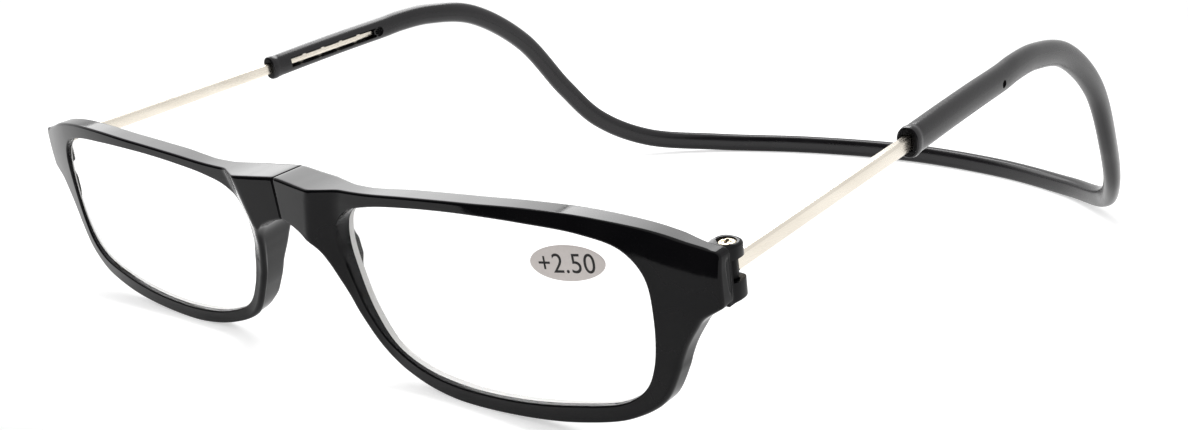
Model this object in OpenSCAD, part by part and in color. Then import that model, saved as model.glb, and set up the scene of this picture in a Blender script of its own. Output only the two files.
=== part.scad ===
// Reading glasses that open at the bridge: two half fronts held together by
// magnets, each hinged on a metal rod that slides in the end of one flexible neckband.
// Millimetres. X runs to the wearer's left, Y from the lenses back to the nape, Z up.
// Sizes are drawn in the upright frame of the lenses and tilted onto the floor at the end.

/* [Lens opening] */
// Width of one lens opening
opening_w = 50.6; // [47:0.2:53]
// Height of one lens opening
opening_h = 25.0; // [23:0.2:27]
// Distance from the middle plane to the nose edge of an opening
opening_nose = 9.6; // [9:0.1:11]
// Height of an opening's middle above the zero of the lens frame
opening_mid_z = 3.7; // [3.4:0.1:4.2]

/* [Rim] */
// Width of the rim above the lens
rim_top = 1.5; // [1.3:0.1:2]
// Width of the rim under the outer brow
rim_brow = 2.3; // [2:0.1:2.8]
// Width of the rim on the temple side
rim_side = 2.6; // [2.2:0.1:3]
// Width of the rim under the lens
rim_bottom = 2.1; // [1.8:0.1:2.6]
// Width of the rim beside the nose
rim_nose = 1.7; // [1.5:0.1:2]
// Front to back depth of the rim
rim_depth = 3.0; // [2.8:0.1:3.4]
// Radius of the wrap of the outer half of the front
wrap_r = 121; // [110:1:140]
// Distance from the middle plane to where the wrap begins
wrap_start = 35; // [30:1:38]

/* [Bridge] */
// Gap left between the two halves where the magnets meet
split_gap = 0.15; // [0.1:0.05:0.3]
// Height of the top of the bridge
bridge_top = 16.0; // [15.8:0.1:16.4]
// Height of the underside of the bridge
bridge_bottom = 9.6; // [9.2:0.1:10]
// How far the split edge stands in front of the lens rims
bridge_front = 0.9; // [0.5:0.1:1.2]
// How far the bridge facet stands in front of the lens rims
facet_front = 1.8; // [1.4:0.1:2.2]
// Distance from the middle plane to the bridge facet
facet_x = 8.0; // [7:0.5:9]
// Depth of the bridge behind the plane of the rims
bridge_back = 4.6; // [4.4:0.1:5.2]
// Depth of the nose saddle behind the plane of the rims
saddle_back = 5.2; // [5:0.1:5.8]
// Height where the nose saddle begins under the bridge block
saddle_top = 10.4; // [10:0.1:11]
// Angle at which the nose gap widens towards the face, in degrees
nose_splay = 28; // [18:1:30]

/* [Bridge magnet] */
// Radius of the magnet
magnet_r = 1.8; // [1.4:0.1:2]
// Length of the magnet
magnet_l = 3.2; // [2:0.2:4]
// Thickness of the cap that closes the magnet pocket
cap_t = 0.6; // [0.4:0.1:1]
// Gap round the magnet and its cap
magnet_gap = 0.04; // [0.02:0.01:0.06]
// Depth of the magnet's axis behind the plane of the rims
magnet_y = 1.85; // [1.6:0.05:2.1]
// Height of the magnet's axis
magnet_z = 12.85; // [12.6:0.05:13.1]

/* [Lens] */
// Radius of the lens's front surface
lens_front_r = 120; // [110:5:140]
// Radius of the lens's back surface
lens_back_r = 208; // [190:2:240]
// Thickness of the lens at its middle
lens_t = 2.4; // [2.2:0.1:2.6]
// Turn of the lens towards the temple, in degrees
lens_turn = 3.0; // [2.5:0.1:3.5]
// Depth of the lens's middle surface behind the plane of the rims
lens_y = 1.1; // [1:0.05:1.3]
// Depth of the groove that holds the lens
groove_depth = 0.5; // [0.4:0.05:0.6]
// Width of the groove that holds the lens
groove_w = 1.1; // [0.9:0.1:1.2]
// Gap between the lens and its rim
lens_gap = 0.04; // [0.02:0.01:0.06]

/* [Power sticker] */
// Length of the sticker
sticker_l = 11.2; // [8:0.2:13]
// Height of the sticker
sticker_h = 4.8; // [3.6:0.2:6]
// Thickness of the sticker
sticker_t = 0.12; // [0.1:0.02:0.2]
// Distance from the opening's middle to the sticker's middle, towards the temple
sticker_x = 14.5; // [8:0.5:16]
// Height of the sticker's middle above the opening's middle
sticker_z = 8.2; // [4:0.2:8.6]
// Tilt of the sticker, in degrees
sticker_tilt = 9; // [0:1:15]

/* [End piece] */
// Height of the top of the hinge end
end_top = 15.0; // [14.6:0.1:15.4]
// Height of the underside of the hinge end
end_bottom = 9.2; // [9:0.1:9.6]
// Height of the underside of the lower hinge lug
lug_bottom = 8.8; // [8.4:0.1:9]
// Radius of the rounded hinge lugs
lug_r = 1.5; // [1.4:0.05:1.7]
// Distance from the rim's outer edge to the hinge axis
hinge_out = 7.1; // [6.8:0.1:7.6]
// Depth of the hinge axis behind the plane of the rims
hinge_y = 8.2; // [8:0.1:8.6]

/* [Hinge] */
// Radius of the barrel on the end of the rod
barrel_r = 1.0; // [0.95:0.05:1.1]
// Gap above and under the barrel
barrel_gap = 0.08; // [0.05:0.01:0.1]
// Radius of the screw's shank
screw_r = 0.5; // [0.45:0.05:0.55]
// Radius of the screw's head
screw_head_r = 1.15; // [1:0.05:1.2]
// Height of the screw's head
screw_head_h = 0.5; // [0.4:0.05:0.6]
// Width of the cross cut in the screw's head
screw_cut_w = 0.26; // [0.2:0.02:0.34]
// Radial clearance of the barrel on the screw
screw_run = 0.04; // [0.02:0.01:0.06]
// Radial clearance of the screw in the lugs
screw_seat = 0.02; // [0.01:0.01:0.03]

/* [Rod] */
// Height of the rod
rod_h = 2.1; // [1.9:0.1:2.3]
// Thickness of the rod
rod_w = 1.4; // [1.2:0.1:1.6]
// Radius of the rod's long edges
rod_edge_r = 0.45; // [0.3:0.05:0.55]
// Height of the rod's axis
rod_z = 11.75; // [11.6:0.05:11.9]
// Length of plain rod inside the sleeve when the rod is pushed in
rod_seat = 4.3; // [3.5:0.1:5]
// Height of the notched tail between its bumps
tail_h = 1.0; // [0.8:0.1:1.2]
// Thickness of the notched tail
tail_w = 1.1; // [1:0.1:1.2]
// Length of the notched tail
tail_l = 21.7; // [20.2:0.5:23.7]
// How far a bump stands above the tail
bump_h = 0.35; // [0.2:0.05:0.4]
// Length of a bump
bump_l = 0.8; // [0.6:0.1:1.2]
// Distance from one bump to the next
bump_pitch = 4.65; // [4.2:0.05:5]
// Number of bumps on each edge
bump_count = 4; // [3:1:4]
// Distance from the start of the tail to the first upper bump
bump_start = 4.0; // [3.4:0.1:4.4]
// How far the lower bumps sit ahead of the upper ones
bump_lead = 1.0; // [0.8:0.1:1.4]
// Clearance between the rod and the sleeve, all round
slide_gap = 0.07; // [0.04:0.01:0.1]

/* [Neckband] */
// Distance from the plane of the rims to the mouth of the sleeve
mouth_y = 50; // [46:1:56]
// Height of the sleeve's section
sleeve_h = 4.15; // [4:0.05:4.6]
// Thickness of the sleeve's section
sleeve_w = 3.3; // [3.2:0.1:3.8]
// How far the bead at the mouth stands out
mouth_bead = 0.14; // [0.05:0.01:0.2]
// Height of the neckband's section
band_h = 4.15; // [3.8:0.05:4.6]
// Thickness of the neckband's section
band_w = 3.05; // [2.8:0.05:3.4]
// Height of the window that shows the rod's tail
window_h = 1.85; // [1.75:0.05:1.9]
// Height of the rear end of the sleeve, above the rod's axis
sleeve_rise = 0.25; // [0:0.05:0.4]
// Depth of the top of the arch over the ear
ear_y = 84; // [82:1:90]
// Height of the top of the arch over the ear
ear_z = 12.3; // [12:0.1:12.6]
// Depth of the nape
nape_y = 176.7; // [170:0.5:184]
// Height of the nape
nape_z = -41.4; // [-41.8:0.1:-41.2]
// Radius of the cross hole behind the window
cross_r = 0.6; // [0.5:0.05:0.7]
// Radius of the pocket round the cross hole, on the inner side
pocket_r = 1.0; // [0.95:0.05:1.1]
// Depth of the pocket round the cross hole
pocket_depth = 0.8; // [0.5:0.1:1]

/* [Stance] */
// Depth of the flat where a rim stands on the floor
rim_flat = 0.1; // [0.05:0.01:0.2]
// Height of the middle of the nape above the floor, as the band stands on its two sides
nape_gap = 0.075; // [0.03:0.005:0.1]
// Depth of the middle of the whole object behind the lens frame's zero
origin_y = 89.1; // [86:0.01:92]

/* [Hidden] */

// Points per stretch of the rim curves, and facets of round parts
curve_steps = 3;
round_fn = 48;
sphere_fn = 240;

// Overlap that lets a cutter pass a face cleanly, and offset that keeps two faces apart
past = 1;
skim = 0.01;

// Middle and half sizes of the left lens opening
mid_x = opening_nose + opening_w / 2;
mid_z = opening_mid_z;
half_w = opening_w / 2;
half_h = opening_h / 2;
temple_x = opening_nose + opening_w;
split_x = split_gap / 2;

// Hinge axis, end of the front and slot between the lugs
lug_inset = 0.05;
root_gap = 0.12;
hinge_x = temple_x + hinge_out;
end_x = hinge_x + lug_r + lug_inset;
barrel_h = rod_h + 2 * barrel_gap;
slot_h = barrel_h + 2 * barrel_gap;
slot_root = barrel_r + root_gap;
screw_floor = 0.5;
screw_tip_z = lug_bottom + screw_floor;

// The barrel's flat and the two ends of the rod
barrel_flat = 0.05;
barrel_tail = barrel_r - barrel_flat;
rod_y = hinge_y + barrel_tail;
tail_y = mouth_y + rod_seat;
rod_end_y = tail_y + tail_l;

// End of the rod's channel, cross hole behind it and end of the straight sleeve
end_gap = 0.25;
hole_wall = 0.3;
sleeve_spare = 1.2;
channel_end = rod_end_y + end_gap;
cross_y = channel_end + cross_r + hole_wall;
sleeve_end = cross_y + pocket_r + sleeve_spare;

// Floor under the rims and under the nape, which sets how far the lenses lean as the glasses stand
rim_foot = mid_z - half_h - rim_bottom + rim_flat;
nape_foot = nape_z - band_h / 2 - nape_gap;
lean = atan((rim_foot - nape_foot) / nape_y);
stand_z = -rim_foot * cos(lean);

// Both ends of the left magnet along the bridge
magnet_start = split_x + cap_t + magnet_gap;
magnet_end = magnet_start + magnet_l;

// Radius of the middle surface of the lens's edge
tongue_r = (lens_front_r + lens_back_r) / 2;

// Opening in units of its half sizes, clockwise from the upper nose corner,
// each point with the width of the rim outside it
opening_shape = [
    [-0.866, 0.768, rim_top + 0.9],
    [-0.708, 0.856, rim_top + 0.4],
    [-0.391, 0.936, rim_top],
    [0.004, 0.992, rim_top],
    [0.36, 1.0, (rim_top + rim_brow) / 2],
    [0.676, 0.96, rim_brow],
    [0.874, 0.848, rim_brow + 0.6],
    [0.972, 0.616, rim_side],
    [1.0, 0.184, rim_side + 1.6],
    [0.992, -0.296, rim_side],
    [0.949, -0.544, rim_side - 0.3],
    [0.818, -0.72, rim_bottom],
    [0.518, -0.856, rim_bottom + 0.2],
    [0.123, -0.968, rim_bottom],
    [-0.273, -1.0, rim_bottom],
    [-0.569, -0.936, rim_bottom - 0.2],
    [-0.767, -0.768, rim_nose],
    [-0.889, -0.44, rim_nose + 0.2],
    [-0.964, -0.016, rim_nose + 1.2],
    [-1.0, 0.344, rim_nose + 2],
    [-0.968, 0.608, rim_nose + 2]
];

// One point of a curve that passes through p1 and p2, with knots at the root of the chord
function knot(a, b) = max(sqrt(norm(b - a)), 0.000001);
function mix(a, b, ta, tb, t) = a * (tb - t) / (tb - ta) + b * (t - ta) / (tb - ta);
function through(p0, p1, p2, p3, f) =
    let (
        t1 = knot(p0, p1),
        t2 = t1 + knot(p1, p2),
        t3 = t2 + knot(p2, p3),
        t = t1 + f * (t2 - t1),
        a1 = mix(p0, p1, 0, t1, t),
        a2 = mix(p1, p2, t1, t2, t),
        a3 = mix(p2, p3, t2, t3, t),
        b1 = mix(a1, a2, 0, t2, t),
        b2 = mix(a2, a3, t1, t3, t)
    )
    mix(b1, b2, t1, t2, t);

// Smooth closed and open curves through a list of points
function closed_curve(p, steps) =
    let (n = len(p))
    [for (i = [0:n - 1]) for (k = [0:steps - 1])
        through(p[(i + n - 1) % n], p[i], p[(i + 1) % n], p[(i + 2) % n], k / steps)];
function open_curve(p, steps) =
    let (
        n = len(p),
        q = concat([2 * p[0] - p[1]], p, [2 * p[n - 1] - p[n - 2]])
    )
    concat(
        [for (i = [1:n - 1]) for (k = [0:steps - 1]) through(q[i - 1], q[i], q[i + 1], q[i + 2], k / steps)],
        [p[n - 1]]
    );

// Closed outline moved outward by a distance, for outlines that run clockwise
function outward(p, i) =
    let (n = len(p), d = p[(i + 1) % n] - p[(i + n - 1) % n])
    [-d[1], d[0]] / norm(d);
function grown(p, by) = [for (i = [0:len(p) - 1]) p[i] + by * outward(p, i)];

// Lens opening in the plane of the rims, and its smooth outline
opening_points = [for (s = opening_shape) [mid_x + s[0] * half_w, mid_z + s[1] * half_h]];
opening_curve = closed_curve(opening_points, curve_steps + 1);
function rim_point(i) = opening_points[i] + opening_shape[i][2] * outward(opening_points, i);

// Outer outline of the left half front, clockwise from the top of the split
outer_points = concat(
    [
        [split_x, bridge_top],
        [opening_nose - 4.6, bridge_top - 0.05],
        [opening_nose + 1.4, bridge_top + 0.15]
    ],
    [for (i = [1:5]) rim_point(i)],
    [
        [temple_x - 0.2, end_top + 2.1],
        [end_x - 3.9, end_top + 0.95],
        [end_x - 1.1, end_top + 0.2],
        [end_x - 0.2, end_top - 0.2],
        [end_x, end_top - 0.8],
        [end_x, end_bottom + 0.8],
        [end_x - 0.2, end_bottom + 0.2],
        [end_x - 0.9, end_bottom - 0.1],
        [end_x - 2.3, end_bottom - 0.6],
        [end_x - 3.4, end_bottom - 2.2]
    ],
    [for (i = [8:18]) rim_point(i)],
    [
        [opening_nose - 5.5, bridge_bottom - 2.1],
        [opening_nose - 8.1, bridge_bottom - 0.4],
        [split_x, bridge_bottom]
    ]
);
outer_curve = open_curve(outer_points, curve_steps);

// Depth of the front face at a distance from the middle plane
function face_y(x) =
    x < facet_x ? -bridge_front - (facet_front - bridge_front) * x / facet_x :
    x < opening_nose + 2.9 ? -facet_front * (opening_nose + 2.9 - x) / (opening_nose + 2.9 - facet_x) :
    x < wrap_start ? 0 :
    wrap_r - sqrt(wrap_r * wrap_r - (x - wrap_start) * (x - wrap_start));
wrap_steps = 12;
wrap_xs = [for (i = [1:wrap_steps]) wrap_start + (end_x + past - wrap_start) * i / wrap_steps];
face_points = concat(
    [for (x = [0, facet_x, opening_nose + 2.9, wrap_start]) [x, face_y(x)]],
    [for (x = wrap_xs) [x, face_y(x)]]
);
wrap_back = [for (i = [wrap_steps - 1:-1:0]) [wrap_xs[i], face_y(wrap_xs[i]) + rim_depth]];
block_back = [
    [wrap_start, rim_depth],
    [opening_nose + 14, rim_depth],
    [opening_nose + 7, rim_depth - 0.4],
    [opening_nose + 3.4, rim_depth - 0.2],
    [facet_x, bridge_back - 0.6],
    [0, bridge_back]
];
saddle_points = [
    [0, face_y(0)],
    [facet_x, face_y(facet_x)],
    [opening_nose + 2.9, 0],
    [opening_nose + 14, 0],
    [opening_nose + 14, rim_depth],
    [opening_nose + 9, rim_depth + 0.2],
    [opening_nose + 3, saddle_back],
    [0, saddle_back]
];

// Outline of the nose gap, drawn square to the slanted wall of the nose saddle.
// The cut eases off towards the bottom of the rim.
nose_first = len(outer_points) - 7;
nose_curve = open_curve([for (i = [nose_first:len(outer_points) - 1]) outer_points[i]], curve_steps);
function nose_pull(z) =
    rim_depth * tan(nose_splay) * (1 - min(1, max(0, (z - mid_z + half_h - 1) / half_h)));
nose_edge = -opening_nose / 2;
nose_points = concat(
    [
        [nose_edge, bridge_bottom - skim],
        [nose_edge, nose_curve[0][1] - past],
        [nose_curve[0][0] + nose_edge, nose_curve[0][1] - past]
    ],
    [for (p = nose_curve) [(p[0] - nose_pull(p[1])) * cos(nose_splay) - skim, p[1] - skim]]
);

// Route of the neckband's left half, from the mouth of the sleeve to the nape
sleeve_length = sleeve_end - mouth_y;
sleeve_points = [for (s = [[0, 0], [0.03, 0], [0.07, 0], [0.34, 0.3], [0.68, 0.7], [1, 1]])
    [hinge_x, mouth_y + s[0] * sleeve_length, rod_z + s[1] * sleeve_rise]];

// The band's way from the sleeve over the ear to the nape: shares of the half width that
// it draws in, of the way back from the ear's arch, and of the drop from there
drop_shape = [
    [0.0015, 0, 0],
    [0.0045, 0.086, 0.011],
    [0.0075, 0.222, 0.0745],
    [0.0135, 0.3745, 0.2625],
    [0.0325, 0.4885, 0.5305],
    [0.0655, 0.574, 0.715],
    [0.147, 0.6905, 0.8605],
    [0.3285, 0.834, 0.944],
    [0.6285, 0.9525, 0.987],
    [1, 1, 1],
    [1.3715, 0.9525, 0.987]
];
drop_points = concat(
    [[hinge_x, sleeve_end, rod_z + sleeve_rise]],
    [for (s = drop_shape)
        [hinge_x * (1 - s[0]), ear_y + s[1] * (nape_y - ear_y), ear_z + s[2] * (nape_z - ear_z)]]
);
drop_steps = 4;
drop_curve = open_curve(drop_points, drop_steps);
left_route = concat(
    [for (i = [0:len(sleeve_points) - 2]) sleeve_points[i]],
    [for (i = [0:drop_steps * (len(drop_points) - 2)]) drop_curve[i]]
);
band_route = concat(
    left_route,
    [for (i = [len(left_route) - 2:-1:0]) [-left_route[i][0], left_route[i][1], left_route[i][2]]]
);

// Section of the neckband at one point of its route: rounded box, flat side to the wearer
band_sides = 16;
function blunt(c) = sign(c) * pow(abs(c), 0.72);
function route_dir(p, i) =
    let (d = p[min(i + 1, len(p) - 1)] - p[max(i - 1, 0)]) d / norm(d);
function share(y) = min(1, max(0, (y - sleeve_end) / (ear_y - sleeve_end + 2 * band_w)));
function bead(y) = y < mouth_y + sleeve_w / 2 ? mouth_bead * (y < mouth_y + skim ? 0.4 : 1) : 0;
function band_ring(p, i) =
    let (
        d = route_dir(p, i),
        flat = [d[1], -d[0], 0] / norm([d[0], d[1]]),
        tall = cross(flat, d),
        f = share(p[i][1]),
        w = (sleeve_w + (band_w - sleeve_w) * f) / 2 + bead(p[i][1]),
        h = (sleeve_h + (band_h - sleeve_h) * f) / 2 + bead(p[i][1])
    )
    [for (k = [0:band_sides - 1])
        let (a = 360 * (k + 0.5) / band_sides)
        p[i] + w * blunt(cos(a)) * flat + h * blunt(sin(a)) * tall];

// Solid between rings of equal count, closed at both ends
module loft(rings) {
    n = len(rings[0]);
    m = len(rings);
    points = [for (r = rings) for (q = r) q];
    ends = [
        [for (k = [n - 1:-1:0]) k],
        [for (k = [0:n - 1]) (m - 1) * n + k]
    ];
    walls = [for (i = [0:m - 2]) for (k = [0:n - 1]) for (h = [0, 1])
        let (a = i * n + k, b = i * n + (k + 1) % n, c = a + n, d = b + n)
        h == 0 ? [a, b, c] : [b, d, c]];
    polyhedron(points = points, faces = concat(ends, walls), convexity = 10);
}

// Extrusion along Y of an outline drawn in X and Z
module along_y(from, to, points) {
    translate([0, to, 0])
        rotate([90, 0, 0])
            linear_extrude(height = to - from)
                polygon(points);
}

// Extrusion along Z of a plan drawn in X and Y
module upright(from, to, points) {
    translate([0, 0, from])
        linear_extrude(height = to - from)
            polygon(points);
}

// Bar with rounded long edges that runs along Y
module bar(w, h, r, length) {
    rotate([-90, 0, 0])
        linear_extrude(height = length)
            union() {
                square([w - 2 * r, h], center = true);
                square([w, h - 2 * r], center = true);
                for (x = [-1, 1], z = [-1, 1])
                    translate([x * (w / 2 - r), z * (h / 2 - r)])
                        circle(r = r, $fn = 24);
            }
}

// Lean of the upright lens frame onto the floor, and the flats under what stands on it
module stand() {
    translate([0, -origin_y, stand_z])
        rotate([lean, 0, 0])
            children();
}
module floor_cut() {
    translate([-200, -200, -20])
        cube([400, 400, 20]);
}

// A left piece, or its mirror image
module side(left) {
    if (left) stand() children();
    else stand() mirror([1, 0, 0]) children();
}

// Space between two spheres whose middles lie behind the lens
module lens_space(front_r, front_y, back_r, back_y) {
    translate([mid_x, lens_y, mid_z])
        rotate([0, 0, lens_turn])
            difference() {
                translate([0, front_y + front_r, 0])
                    sphere(r = front_r, $fn = sphere_fn);
                translate([0, back_y + back_r, 0])
                    sphere(r = back_r, $fn = sphere_fn);
            }
}

// Tongue round the lens's edge, or with a gap the groove that holds it
module tongue(gap) {
    intersection() {
        along_y(-3, 9, grown(opening_curve, groove_depth - lens_gap + gap));
        lens_space(tongue_r, -groove_w / 2 - gap + lens_gap, tongue_r, groove_w / 2 + gap - lens_gap);
    }
}

// Lens with its tongue
module lens(left) {
    color([0.86, 0.9, 0.92, 0.35])
        side(left)
            union() {
                intersection() {
                    along_y(-3, 9, grown(opening_curve, -lens_gap));
                    lens_space(lens_front_r, -lens_t / 2, lens_back_r, lens_t / 2);
                }
                tongue(0);
            }
}

// Round posts on the hinge axis and on the magnet's axis
module hinge_post(r, from, to) {
    translate([hinge_x, hinge_y, from])
        cylinder(r = r, h = to - from, $fn = round_fn);
}
module magnet_post(r, from, to) {
    translate([from, magnet_y, magnet_z])
        rotate([0, 90, 0])
            cylinder(r = r, h = to - from, $fn = round_fn);
}

// Half front before the hinge slot and the bores
module front_block() {
    intersection() {
        along_y(-5, 12, outer_curve);
        union() {
            upright(-20, 25, concat(face_points, wrap_back, block_back));
            upright(-20, saddle_top, saddle_points);
        }
    }
    hinge_post(lug_r, lug_bottom, end_top);
    translate([hinge_x - lug_r, face_y(hinge_x) + rim_depth / 2, lug_bottom])
        cube([2 * lug_r, hinge_y - face_y(hinge_x) - rim_depth / 2, end_top - lug_bottom]);
}

// Half front with its opening, groove, nose cut, hinge slot and bores
module front(left) {
    slot_z = rod_z - slot_h / 2;
    color([0.03, 0.03, 0.035])
        difference() {
            side(left)
                difference() {
                    front_block();
                    along_y(-6, 12, opening_curve);
                    tongue(lens_gap);
                    rotate([0, 0, -nose_splay])
                        along_y(0, 20, nose_points);
                    hinge_post(slot_root, slot_z, slot_z + slot_h);
                    translate([hinge_x - lug_r - past, hinge_y - slot_root, slot_z])
                        cube([2 * lug_r + 2 * past, slot_root + lug_r + past, slot_h]);
                    hinge_post(screw_r + screw_seat, screw_tip_z - end_gap, end_top);
                    hinge_post(screw_head_r + screw_seat, end_top - screw_head_h, end_top + 5);
                    magnet_post(magnet_r + magnet_gap, -past, magnet_end + magnet_gap);
                }
            floor_cut();
        }
}
// Magnet in the end of the bridge, and the cap that closes its pocket
module magnet(left) {
    color([0.72, 0.73, 0.75])
        side(left)
            magnet_post(magnet_r, magnet_start, magnet_end);
}

module magnet_cap(left) {
    color([0.05, 0.05, 0.055])
        side(left)
            magnet_post(magnet_r, split_x, split_x + cap_t);
}

// Screw with a recessed cross in its head
module hinge_screw(left) {
    head_z = end_top - screw_head_h;
    color([0.66, 0.56, 0.4])
        side(left)
            difference() {
                union() {
                    hinge_post(screw_r, screw_tip_z, head_z + 0.1);
                    hinge_post(screw_head_r, head_z, end_top - 0.05);
                }
                for (turn = [0, 90])
                    translate([hinge_x, hinge_y, end_top])
                        rotate([0, 0, turn])
                            cube([1.4 * screw_head_r, screw_cut_w, screw_head_h], center = true);
            }
}

// Black barrel that turns on the screw, cut off flat where the rod begins
module hinge_barrel(left) {
    color([0.08, 0.08, 0.085])
        side(left)
            difference() {
                union() {
                    hinge_post(barrel_r, rod_z - barrel_h / 2, rod_z + barrel_h / 2);
                    translate([hinge_x - rod_w / 2, hinge_y, rod_z - barrel_h / 2])
                        cube([rod_w, barrel_tail, barrel_h]);
                }
                hinge_post(screw_r + screw_run, rod_z - barrel_h, rod_z + barrel_h);
                translate([hinge_x - past, rod_y, rod_z - barrel_h])
                    cube([2 * past, past, 2 * barrel_h]);
            }
}

// Flat rod with a notched tail
module temple_rod(left) {
    color([0.8, 0.79, 0.76])
        side(left)
            translate([hinge_x, rod_y, rod_z]) {
                bar(rod_w, rod_h, rod_edge_r, tail_y - rod_y);
                translate([-tail_w / 2, tail_y - rod_y - 0.1, -tail_h / 2])
                    cube([tail_w, tail_l + 0.1, tail_h]);
                for (i = [0:bump_count - 1]) {
                    at = tail_y - rod_y + bump_start + i * bump_pitch - bump_l / 2;
                    translate([-tail_w / 2, at, 0])
                        cube([tail_w, bump_l, tail_h / 2 + bump_h]);
                    translate([-tail_w / 2, at - bump_lead, -tail_h / 2 - bump_h])
                        cube([tail_w, bump_l, tail_h / 2 + bump_h]);
                }
            }
}

// Channel for the rod, window on the inner side and cross hole, of the left sleeve
module sleeve_cuts() {
    channel_w = rod_w + 2 * slide_gap;
    channel_h = rod_h + 2 * slide_gap;
    translate([hinge_x - channel_w / 2, mouth_y - past, rod_z - channel_h / 2])
        cube([channel_w, channel_end - mouth_y + past, channel_h]);
    translate([hinge_x - sleeve_w, tail_y, rod_z - window_h / 2])
        cube([sleeve_w, channel_end - tail_y, window_h]);
    translate([hinge_x - sleeve_w, cross_y, rod_z])
        rotate([0, 90, 0])
            cylinder(r = cross_r, h = 2 * sleeve_w, $fn = round_fn);
    translate([hinge_x - sleeve_w - sleeve_w / 2 + pocket_depth, cross_y, rod_z])
        rotate([0, 90, 0])
            cylinder(r = pocket_r, h = sleeve_w, $fn = round_fn);
}

// One flexible band whose two ends are the sleeves
module neckband() {
    color([0.06, 0.06, 0.065])
        difference() {
            stand()
                difference() {
                    loft([for (i = [0:len(band_route) - 1]) band_ring(band_route, i)]);
                    sleeve_cuts();
                    mirror([1, 0, 0])
                        sleeve_cuts();
                }
            floor_cut();
        }
}

// Oval film on the front of the left lens
module power_sticker() {
    sticker_fn = 40;
    oval = [for (k = [0:sticker_fn - 1])
        let (
            a = -360 * k / sticker_fn,
            x = sticker_l / 2 * cos(a),
            z = sticker_h / 2 * sin(a)
        )
        [
            mid_x + sticker_x + x * cos(sticker_tilt) - z * sin(sticker_tilt),
            mid_z + sticker_z + x * sin(sticker_tilt) + z * cos(sticker_tilt)
        ]];
    color([0.82, 0.79, 0.77])
        side(true)
            intersection() {
                along_y(-3, 4, oval);
                lens_space(
                    lens_front_r + sticker_t, -lens_t / 2 - sticker_t - skim,
                    lens_front_r, -lens_t / 2 - skim
                );
            }
}

front(true);  // front_left
front(false);  // front_right
lens(true);  // lens_left
lens(false);  // lens_right
magnet(true);  // magnet_left
magnet(false);  // magnet_right
magnet_cap(true);  // magnet_cap_left
magnet_cap(false);  // magnet_cap_right
hinge_screw(true);  // hinge_screw_left
hinge_screw(false);  // hinge_screw_right
hinge_barrel(true);  // hinge_barrel_left
hinge_barrel(false);  // hinge_barrel_right
temple_rod(true);  // temple_rod_left
temple_rod(false);  // temple_rod_right
neckband();
power_sticker();
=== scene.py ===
import math

import bmesh
import bpy
import numpy as np
from mathutils import Matrix, Vector

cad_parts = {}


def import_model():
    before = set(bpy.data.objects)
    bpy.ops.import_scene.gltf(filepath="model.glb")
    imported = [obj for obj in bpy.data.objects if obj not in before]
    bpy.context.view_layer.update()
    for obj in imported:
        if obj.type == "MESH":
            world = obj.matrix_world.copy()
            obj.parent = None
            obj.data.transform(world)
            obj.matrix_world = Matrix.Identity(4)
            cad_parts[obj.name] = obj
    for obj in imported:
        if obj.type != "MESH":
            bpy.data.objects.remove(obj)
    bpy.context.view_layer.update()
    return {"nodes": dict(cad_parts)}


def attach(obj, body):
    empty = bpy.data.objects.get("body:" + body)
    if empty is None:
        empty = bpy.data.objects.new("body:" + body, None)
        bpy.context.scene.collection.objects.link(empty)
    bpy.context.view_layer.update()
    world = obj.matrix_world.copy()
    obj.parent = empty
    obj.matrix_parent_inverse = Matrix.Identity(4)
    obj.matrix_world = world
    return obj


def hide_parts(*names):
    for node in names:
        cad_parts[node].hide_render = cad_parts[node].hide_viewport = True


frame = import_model()

# Sizes in millimetres, in the lens frame: X to the wearer's left, Y backwards, Z up along the lenses
LEAN = math.radians(10.5)
ORIGIN_Y = 89.1
STAND_Z = 10.62

NOSE = 9.6
OPEN_W = 50.6
OPEN_H = 25.0
MID_X = NOSE + OPEN_W / 2
MID_Z = 3.7

SPLIT_X = 0.075
SPLIT_Y = -0.9
FACET_X = 8.0
FACET_Y = -1.8
BRIDGE_TOP = 16.6
BRIDGE_LOW = 10.46
SPLAY = math.tan(math.radians(13))
WRAP_X = 35
WRAP_R = 121
END_X = 68.5

# Radii of the rounded edges of the fronts
FACE_EDGE = 0.32
FACE_HOLE_EDGE = 0.25
BACK_EDGE = 0.35
BACK_HOLE_EDGE = 0.2
SPLIT_EDGE = 0.13

# Lens: depth and thickness at its middle, slope of its front, change of thickness across, radii
LENS_Y = 0.1
LENS_T = 2.45
LENS_TURN = 0.0146
LENS_WEDGE = 0.034
LENS_FRONT_R = 120
LENS_BACK_R = 150
LENS_PLAY = 0.03

HINGE_X = 67.3
HINGE_Y = 8.2
HINGE_AXIS = (HINGE_X, HINGE_Y, 0)
ROD_Y = 9.15
ROD_Z = 11.75
ROD_W = 1.4
ROD_H = 2.1
ROD_CORNER = 0.45
TAIL_Y = 54.3
TAIL_END = 76.0

LUG_R = 1.6
LUG_BACK = 1.68
LUG_FLUSH = 1.15
LUG_BOTTOM = 7.85
SLOT_LOW = ROD_Z - 1.5
SLOT_HIGH = ROD_Z + 1.19
SLOT_FRONT = HINGE_Y - 1.16
SLOT_R = 1.12
RECESS_R = 1.15
RECESS_Z = 14.2
BARREL_R = 1.0
BARREL_LOW = ROD_Z - 1.42
BARREL_HIGH = ROD_Z + 1.13

MOUTH_Y = 50.0
CHANNEL_END = 76.25
CHANNEL_HALF_W, CHANNEL_HALF_H = 0.77, 1.12
WINDOW_HALF_H = 0.925
CROSS_Y = 77.15
CROSS_HOLE_R = 0.6
POCKET_R = 1.0
POCKET_X = HINGE_X - 0.85
SLEEVE_END = 79.35
SLIM_END = 90.1
BAND_W = 3.15
BAND_H = 4.18


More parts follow.
